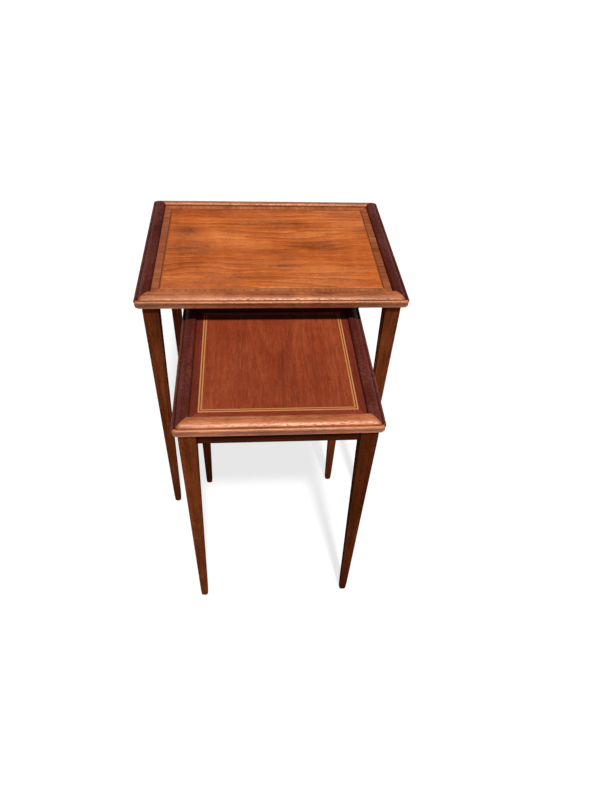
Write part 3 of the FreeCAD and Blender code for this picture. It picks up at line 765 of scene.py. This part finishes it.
def panelTop(table):
    # the field, then on each side the line beside it and the band out to the moulding
    size, border = sizes[table], borders[table]
    lineLow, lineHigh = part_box(f"{table}_back_{border['line']}")
    lineWidth = lineHigh.y - lineLow.y
    for side in sideTurns:
        half, reach = size["halfLength"][side], size["reach"][side]
        title = table + side.capitalize()
        inner = size["fieldHalfY"] if side in ("front", "back") else size["fieldHalfX"]
        middle, outer = inner + lineWidth, reach - size["mouldWidth"]
        setIn = half - reach  # half-length minus distance out is the same all the way to the mitre
        lineFinish = "inlay" if table == "inner" else ("stringPale" if side == "front" else "stringDark")
        veneerPiece(title + border["line"].capitalize(), table,
                    [f"{table}_{side}_{border['line']}"], finishes[lineFinish],
                    inner, middle, inner + setIn, middle + setIn, sideTurns[side], False, 0.0)
        veneerPiece(title + border["band"].capitalize(), table,
                    [f"{table}_{side}_{border['band']}"], finishes[border["band"]],
                    middle, outer, middle + setIn, outer + setIn, sideTurns[side], table == "outer",
                    border["bandTones"][side])
    halfX, halfY = size["fieldHalfX"], size["fieldHalfY"]
    veneerPiece(table + "Field", table, [table + "_field_veneer"],
                finishes[border["field"]], -halfY, halfY, halfX, halfX, 0.0, border["fieldCross"], 0.0)


for table in bodyOf:
    panelTop(table)
print("veneers made")


legShape = {
    "footSize": 0.0126, "footShift": 0.0034, "squareBelowRail": 0.0020,
    "arris": 0.0011, "footArris": 0.0044, "footArrisReach": 0.022, "footRadius": 0.0056,
    "roundestShare": 0.45, "soleSteps": 8, "heightSteps": 90, "headSteps": 8,
    "arrisStart": 2, "arrisEnd": 88, "arrisSteps": 6, "unevenness": 0.00008,
}

legWearAndDarkening = {
    "arris": 0.45, "low": -0.35, "lowReach": 0.12, "sole": -0.5, "soleReach": 0.006,
    # the head: painted shade just under the top
    "head": -0.5, "headReach": 0.004,
}

legTones = {
    "outer": {"front_left": -0.08, "front_right": 0.10, "back_right": -0.1, "back_left": -0.1},
    "inner": {"front_left": 0.16, "front_right": -0.36, "back_right": 0.0, "back_left": -0.3},
}


def leg(table, corner):
    # Rounded square rings stacked up z. Below the shoulder the two outer faces lean in by footShift and the
    # size falls straight from the head to the foot; the sole is rounded by a quarter circle.
    size, shape = sizes[table], legShape
    top = size["underTop"]
    shoulder = top - size["railHeight"] - shape["squareBelowRail"]
    sole = np.radians(np.linspace(0, 90, shape["soleSteps"] + 1)[:-1])
    level = np.concatenate([shape["footRadius"] * (1 - np.cos(sole)),
                            np.linspace(shape["footRadius"], shoulder, shape["heightSteps"]),
                            np.linspace(shoulder, top, shape["headSteps"])[1:]])
    trim = np.concatenate([shape["footRadius"] * (1 - np.sin(sole)), np.zeros(len(level) - len(sole))])
    down = np.clip((shoulder - level) / shoulder, 0, 1)
    width = size["legSize"] + (shape["footSize"] - size["legSize"]) * down
    seed = sum(map(ord, table + corner))
    width = width - shape["unevenness"] * (1 + waviness(level, seed)) - 2 * trim
    middle = shape["footShift"] * down + (width + 2 * trim) / 2
    # the arrises grow rounder near the floor
    extra = (shape["footArris"] - shape["arris"]) * np.clip(1 - level / shape["footArrisReach"], 0, 1)
    rounding = np.minimum(shape["arris"] + extra, width * shape["roundestShare"])

    sweeps = [np.linspace(start + shape["arrisStart"], start + shape["arrisEnd"], shape["arrisSteps"])
              for start in (0, 90, 180, 270)]
    angles = np.radians(np.concatenate(sweeps))
    quadrant = np.repeat(np.radians([45, 135, 225, 315]), shape["arrisSteps"])
    signX, signY = np.sign(np.cos(quadrant)), np.sign(np.sin(quadrant))
    x = middle[:, None] + signX * (width / 2 - rounding)[:, None] + rounding[:, None] * np.cos(angles)
    y = middle[:, None] + signY * (width / 2 - rounding)[:, None] + rounding[:, None] * np.sin(angles)
    z = np.broadcast_to(level[:, None], x.shape)
    rows, columns = x.shape
    flat = np.stack([x, y, z], axis=-1).reshape(-1, 3)
    faces = tubeFaces(rows, columns)
    low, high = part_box(f"{table}_{corner}_leg")
    start = {"front_left": (low.x, low.y), "front_right": (high.x, low.y),
             "back_right": (high.x, high.y), "back_left": (low.x, high.y)}[corner]
    points = turned(flat, cornerTurns[corner], (*start, 0.0))
    offset = grainOffset(np.random.default_rng(seed))
    grain = np.stack([z, x, y], axis=-1).reshape(-1, 3) + offset
    arrisWear = legWearAndDarkening["arris"] * np.sin(2 * angles) ** 2
    # darker towards the foot and at the sole
    darkerTowardsFoot = (legWearAndDarkening["low"] * np.clip(1 - level / legWearAndDarkening["lowReach"], 0, 1)
                + legWearAndDarkening["sole"] * np.clip(1 - level / legWearAndDarkening["soleReach"], 0, 1))
    # painted shade at the leg's head, just under the top
    paintedShadeAtHead = legWearAndDarkening["head"] * np.clip((level - top) / legWearAndDarkening["headReach"] + 1, 0, 1)
    wear = (arrisWear[None, :] + darkerTowardsFoot[:, None] + paintedShadeAtHead[:, None]).ravel()
    name = table + "".join(word.capitalize() for word in corner.split("_")) + "Leg"
    addPiece(name, points, faces, table, [f"{table}_{corner}_leg"], finishes["leg"],
             {"grain": grain, "wear": wear, "tone": np.full(len(points), legTones[table][corner])})


for table in bodyOf:
    for corner in cornerTurns:
        leg(table, corner)
print("legs made")


railShape = {"arris": 0.0009, "arrisSteps": 5, "lengthSteps": 60, "unevenness": 0.00006}
railWearAndDarkening = {"edge": 0.25, "edgeReach": 0.001, "end": -0.5, "endReach": 0.003}


def rail(table, side):
    # a rounded rectangle carried straight between the legs' inner faces
    size, shape = sizes[table], railShape
    half = size["halfLength"][side] - size["legInset"] - size["legSize"]
    face = size["reach"][side] - size["legInset"] - size["railSetback"]
    radius, thickness, height = shape["arris"], size["railThickness"], size["railHeight"]
    corners = [(0, thickness, height), (90, 0, height), (180, 0, 0), (270, thickness, 0)]
    section = np.concatenate([
        arcPoints(face - thickness + abs(across - radius), abs(up - radius), radius,
                  start, start + 90, shape["arrisSteps"])
        for start, across, up in corners])
    x = np.linspace(half, -half, shape["lengthSteps"])
    seed = sum(map(ord, table + side))
    wave = shape["unevenness"] * waviness(x, seed)
    flat = np.stack([np.broadcast_to(x[:, None], (len(x), len(section))),
                     section[None, :, 0] + wave[:, None] - shape["unevenness"],
                     np.broadcast_to(section[None, :, 1], (len(x), len(section)))
                     + size["underTop"] - height], axis=-1)
    rows, columns = flat.shape[:2]
    faces = tubeFaces(rows, columns)
    local = flat.reshape(-1, 3)
    points = turned(local, sideTurns[side], size["centre"])
    offset = grainOffset(np.random.default_rng(seed))
    low = size["underTop"] - height + railWearAndDarkening["edgeReach"]
    wear = np.where(local[:, 2] < low, railWearAndDarkening["edge"], 0.0)
    fromEnd = half - np.abs(local[:, 0])
    # darker towards its ends, where it meets the legs
    wear += railWearAndDarkening["end"] * np.clip(1 - fromEnd / railWearAndDarkening["endReach"], 0, 1)
    name = table + side.capitalize() + "Rail"
    addPiece(name, points, faces, table, [f"{table}_{side}_rail"], finishes["rail"],
             {"grain": local + offset, "wear": wear, "tone": np.zeros(len(points))})


railSides = {"outer": ("left", "right", "back"), "inner": ("left", "right", "back", "front")}
for table, sidesOfRails in railSides.items():
    for side in sidesOfRails:
        rail(table, side)
print("rails made")


keptFinishes = {
    "_top_core": "coreBoardDarkenedForShade",
    "_glue_blocks": "beech",
    "_leg_dowels": "beech",
    "_block_screws": "screwSteel",
}
for table in bodyOf:
    for ending, finishName in keptFinishes.items():
        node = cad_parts[table + ending]
        node.data.materials.clear()
        node.data.materials.append(finishes[finishName])


studio = {
    "sky": 0.10, "keyStrength": 4.05, "keyWidth": 4.5, "keyHeight": 58.0, "keyAside": 6.0,
    "floorShade": 0.22, "floorGlow": 0.78, "floorReach": 14.0, "floorRoughness": 0.95, "floorGloss": 0.1,
}


def floorPlane():
    # a plain pale floor, far larger than the view and lit a little from within, so that shadows stay faint
    reach = studio["floorReach"]
    mesh = bpy.data.meshes.new("studioFloor")
    corners = [(-reach, -reach, 0), (reach, -reach, 0), (reach, reach, 0), (-reach, reach, 0)]
    mesh.from_pydata(corners, [], [(0, 1, 2, 3)])
    shader = Shader("studioFloor")
    shade = studio["floorShade"]
    shader.set(BaseColor=(shade, shade, shade), Roughness=studio["floorRoughness"],
               SpecularIORLevel=studio["floorGloss"],
               EmissionColor=(1.0, 1.0, 1.0), EmissionStrength=studio["floorGlow"])
    mesh.materials.append(shader.material)
    floor = bpy.data.objects.new("studioFloor", mesh)
    bpy.context.scene.collection.objects.link(floor)


def sunLamp(name, strength, width, height, heading):
    # a far lamp: its width in the sky, its height, and its heading round from the front, all in degrees
    data = bpy.data.lights.new(name, "SUN")
    data.energy = strength
    data.angle = math.radians(width)
    lamp = bpy.data.objects.new(name, data)
    lift, bearing = math.radians(height), math.radians(heading)
    level = math.cos(lift)
    towards = Vector((math.sin(bearing) * level, -math.cos(bearing) * level, math.sin(lift)))
    lamp.rotation_euler = towards.to_track_quat("Z", "Y").to_euler()
    bpy.context.scene.collection.objects.link(lamp)


def setStudio():
    # an even dim sky and one high key lamp from the front
    world = bpy.data.worlds.new("studioSky")
    world.use_nodes = True
    background = world.node_tree.nodes["Background"]
    background.inputs["Color"].default_value = (1.0, 1.0, 1.0, 1.0)
    background.inputs["Strength"].default_value = studio["sky"]
    bpy.context.scene.world = world
    sunLamp("keyLamp", studio["keyStrength"], studio["keyWidth"], studio["keyHeight"], studio["keyAside"])
    bpy.context.scene.view_settings.view_transform = "Standard"


view = {"yaw": 0.1181, "pitch": 0.7718, "roll": 0.0645, "lens": 27.17, "sensor": 36.0,
        "aside": -0.0441, "back": 0.9953, "height": 1.1295}


def setCamera():
    # forward, right and up come from yaw, pitch and roll
    # the place is measured from the middle of the larger table
    yaw, pitch, roll = view["yaw"], view["pitch"], view["roll"]
    forward = Vector((math.sin(yaw) * math.cos(pitch), math.cos(yaw) * math.cos(pitch), -math.sin(pitch)))
    level = Vector((math.cos(yaw), -math.sin(yaw), 0.0))
    over = level.cross(forward)
    right = level * math.cos(roll) + over * math.sin(roll)
    up = over * math.cos(roll) - level * math.sin(roll)
    data = bpy.data.cameras.new("camera")
    data.lens, data.sensor_width, data.sensor_fit = view["lens"], view["sensor"], "AUTO"
    camera = bpy.data.objects.new("camera", data)
    centre = sizes["outer"]["centre"]
    place = Vector((centre[0] + view["aside"], centre[1] - view["back"], view["height"]))
    turn = Matrix((right, up, -forward)).transposed().to_4x4()
    camera.matrix_world = Matrix.Translation(place) @ turn
    bpy.context.scene.collection.objects.link(camera)
    bpy.context.scene.camera = camera


floorPlane()
setStudio()
setCamera()
print("studio set")
